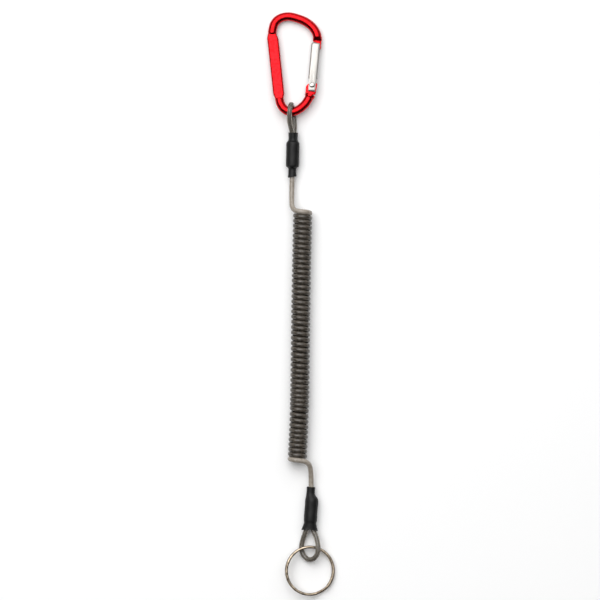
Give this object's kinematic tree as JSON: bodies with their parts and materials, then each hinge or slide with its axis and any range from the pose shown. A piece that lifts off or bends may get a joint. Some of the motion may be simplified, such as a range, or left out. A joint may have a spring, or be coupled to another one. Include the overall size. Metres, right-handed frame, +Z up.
{
  "type": "coiled tool lanyard",
  "caption": "Coiled wire-cored tether with a snap-link carabiner on one end and a split ring on the other, for clipping on fishing pliers.",
  "frame": {"origin": "on the table that it lies on, under the middle of the box of the carabiner and the split ring", "axes": "+Y along the lanyard towards the carabiner, +Z up from the table, +X towards the gate's side"},
  "size_m": [0.0391, 0.3371, 0.0117],
  "materials": {
    "red_anodised": "red anodised, bright",
    "bare_aluminium": "tumbled, satin",
    "steel": "bright",
    "clear_jacket": "smoky clear plastic over dark wire rope",
    "coiled_cord": "smoky clear plastic over dark wire rope",
    "heat_shrink": "satin",
    "nickel": "nickel plated, polished"
  },
  "bodies": {
    "carabiner": {"carabiner_body": "red_anodised", "gate_rivet": "steel"},
    "gate": {"gate_bar": "bare_aluminium", "gate_spring": "steel"},
    "plunger": {"gate_plunger": "steel"},
    "upper_cord": {"upper_loop": "clear_jacket", "upper_sleeve": "heat_shrink", "upper_ferrule": "bare_aluminium", "upper_lead": "clear_jacket", "coil": "coiled_cord"},
    "lower_cord": {"lower_lead": "clear_jacket", "lower_sleeve": "heat_shrink", "lower_ferrule": "bare_aluminium", "lower_loop": "clear_jacket"},
    "split_ring": {"split_ring": "nickel"}
  },
  "joints": [
    {"name": "gate_hinge", "type": "hinge", "parent": "carabiner", "child": "gate", "pos_m": [0.00654, 0.12615, 0.00499], "axis": [0, 0.0623, 0.9981], "range_deg": [0, 32], "stiffness_Nm_per_rad": 0.02, "springref_deg": -20.05},
    {"name": "plunger_slide", "type": "slide", "parent": "gate", "child": "plunger", "axis": [0.0872, 0.9943, -0.062], "range_m": [0, 0.0012], "deforming": ["gate_spring"]},
    {"name": "loop_swing", "type": "hinge", "parent": "carabiner", "child": "upper_cord", "pos_m": [-0.00556, 0.11077, 0.00595], "axis": [-1, 0, 0], "range_deg": [-90, 90]},
    {"name": "coil_stretch", "type": "slide", "parent": "upper_cord", "child": "lower_cord", "axis": [0, -1, 0], "range_m": [0, 0.9], "stiffness_N_per_m": 10, "deforming": ["coil"]},
    {"name": "ring_swing", "type": "hinge", "parent": "lower_cord", "child": "split_ring", "pos_m": [0.00519, -0.14103, 0.00387], "axis": [-1, 0, 0], "range_deg": [-10, 90]}
  ],
  "couplings": [
    {"joint": "plunger_slide", "follows": "gate_hinge", "m_per_rad": 0.0015}
  ]
}
